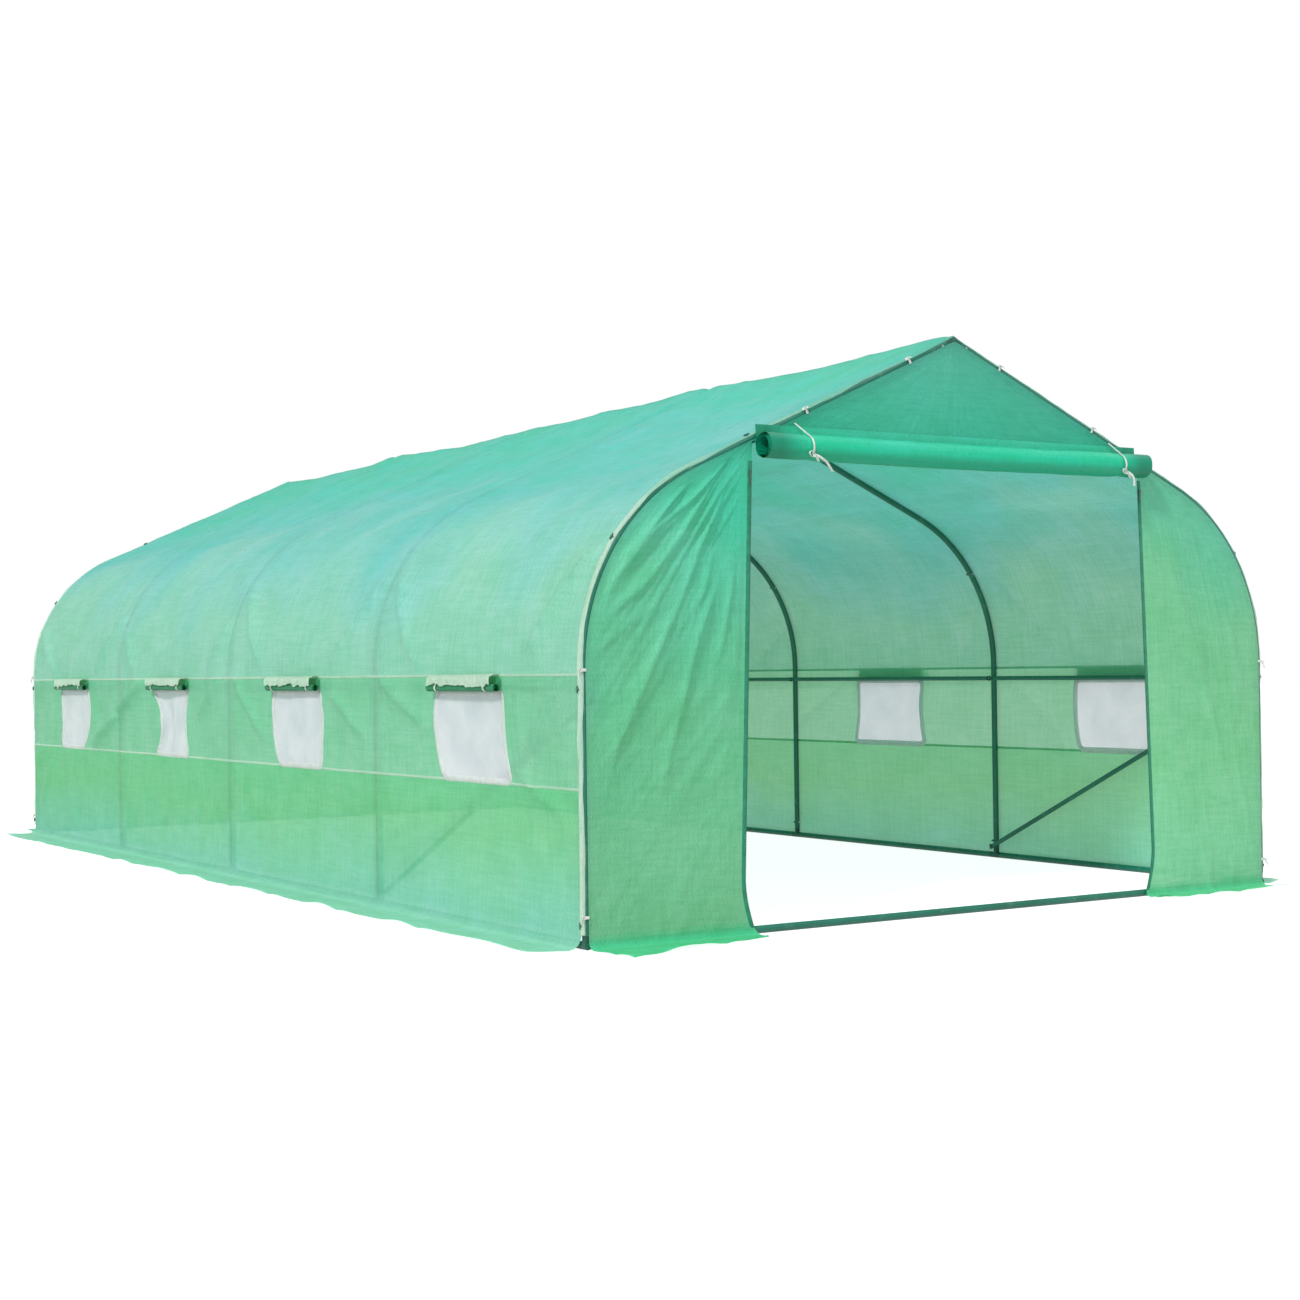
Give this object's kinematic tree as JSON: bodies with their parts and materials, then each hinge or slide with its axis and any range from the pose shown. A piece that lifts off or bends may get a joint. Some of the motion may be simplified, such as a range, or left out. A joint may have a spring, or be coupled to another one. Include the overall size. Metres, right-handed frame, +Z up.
{
  "type": "walk-in tunnel greenhouse",
  "caption": "Walk-in tunnel greenhouse: bent tube hoops on base rails under a sewn translucent cover with a rolled-up door, mesh windows with roll-up flaps and ground skirts.",
  "frame": {"origin": "on the ground, at the centre of the footprint with its skirts", "axes": "+Y along the tunnel from the door end to the closed end, +Z up, +X to the right seen from the door"},
  "size_m": [3.386, 6.528, 1.9993],
  "materials": {
    "frame_tube": "satin",
    "moulded_fitting": "matte",
    "bolt_zinc": "satin",
    "roof_cloth": "satin",
    "band_cloth": "satin",
    "wall_cloth": "satin",
    "end_cloth": "satin",
    "window_mesh": "matte",
    "window_border": "matte",
    "zip_tape": "matte",
    "tie_cord": "matte",
    "door_cloth": "satin",
    "zip_metal": "satin",
    "flap_cloth": "satin"
  },
  "bodies": {
    "greenhouse": {"hoop_1_legs": "frame_tube", "hoop_2_legs": "frame_tube", "hoop_3_legs": "frame_tube", "hoop_4_legs": "frame_tube", "hoop_5_legs": "frame_tube", "hoop_1_rafters": "frame_tube", "hoop_2_rafters": "frame_tube", "hoop_3_rafters": "frame_tube", "hoop_4_rafters": "frame_tube", "hoop_5_rafters": "frame_tube", "ridge_purlins": "frame_tube", "left_side_purlins": "frame_tube", "right_side_purlins": "frame_tube", "left_base_rails": "frame_tube", "right_base_rails": "frame_tube", "end_base_rails": "frame_tube", "door_headers": "frame_tube", "diagonal_braces": "frame_tube", "foot_connectors": "moulded_fitting", "ridge_connectors": "moulded_fitting", "wing_nuts": "moulded_fitting", "frame_bolts": "bolt_zinc", "roof_cover": "roof_cloth", "left_window_band": "band_cloth", "right_window_band": "band_cloth", "left_lower_wall": "wall_cloth", "right_lower_wall": "wall_cloth", "front_gable": "end_cloth", "front_left_panel": "end_cloth", "front_right_panel": "end_cloth", "rear_gable": "end_cloth", "rear_wall": "end_cloth", "left_window_screens": "window_mesh", "right_window_screens": "window_mesh", "left_window_borders": "window_border", "right_window_borders": "window_border", "door_zips": "zip_tape", "cover_ties": "tie_cord"},
    "door": {"door_curtain": "door_cloth", "door_tie_left": "tie_cord", "door_tie_right": "tie_cord", "door_tie_tail_left": "tie_cord", "door_tie_tail_right": "tie_cord"},
    "zip_slider_left": {"zip_slider_left": "zip_metal"},
    "zip_slider_right": {"zip_slider_right": "zip_metal"},
    "flap_left_1": {"window_flap_left_1": "flap_cloth"},
    "flap_left_2": {"window_flap_left_2": "flap_cloth"},
    "flap_left_3": {"window_flap_left_3": "flap_cloth"},
    "flap_left_4": {"window_flap_left_4": "flap_cloth"},
    "flap_right_1": {"window_flap_right_1": "flap_cloth"},
    "flap_right_2": {"window_flap_right_2": "flap_cloth"},
    "flap_right_3": {"window_flap_right_3": "flap_cloth"},
    "flap_right_4": {"window_flap_right_4": "flap_cloth"}
  },
  "joints": [
    {"name": "door_drop", "type": "slide", "parent": "greenhouse", "child": "door", "axis": [0, 0, -1], "range_m": [0, 1.48]},
    {"name": "zip_left", "type": "slide", "parent": "greenhouse", "child": "zip_slider_left", "axis": [-0.0345, 0, -0.9994], "range_m": [0, 1.27]},
    {"name": "zip_right", "type": "slide", "parent": "greenhouse", "child": "zip_slider_right", "axis": [0.0345, 0, -0.9994], "range_m": [0, 1.27]},
    {"name": "flap_left_1_drop", "type": "slide", "parent": "greenhouse", "child": "flap_left_1", "axis": [0, 0, -1], "range_m": [0, 0.31]},
    {"name": "flap_left_2_drop", "type": "slide", "parent": "greenhouse", "child": "flap_left_2", "axis": [0, 0, -1], "range_m": [0, 0.31]},
    {"name": "flap_left_3_drop", "type": "slide", "parent": "greenhouse", "child": "flap_left_3", "axis": [0, 0, -1], "range_m": [0, 0.31]},
    {"name": "flap_left_4_drop", "type": "slide", "parent": "greenhouse", "child": "flap_left_4", "axis": [0, 0, -1], "range_m": [0, 0.31]},
    {"name": "flap_right_1_drop", "type": "slide", "parent": "greenhouse", "child": "flap_right_1", "axis": [0, 0, -1], "range_m": [0, 0.31]},
    {"name": "flap_right_2_drop", "type": "slide", "parent": "greenhouse", "child": "flap_right_2", "axis": [0, 0, -1], "range_m": [0, 0.31]},
    {"name": "flap_right_3_drop", "type": "slide", "parent": "greenhouse", "child": "flap_right_3", "axis": [0, 0, -1], "range_m": [0, 0.31]},
    {"name": "flap_right_4_drop", "type": "slide", "parent": "greenhouse", "child": "flap_right_4", "axis": [0, 0, -1], "range_m": [0, 0.31]}
  ]
}
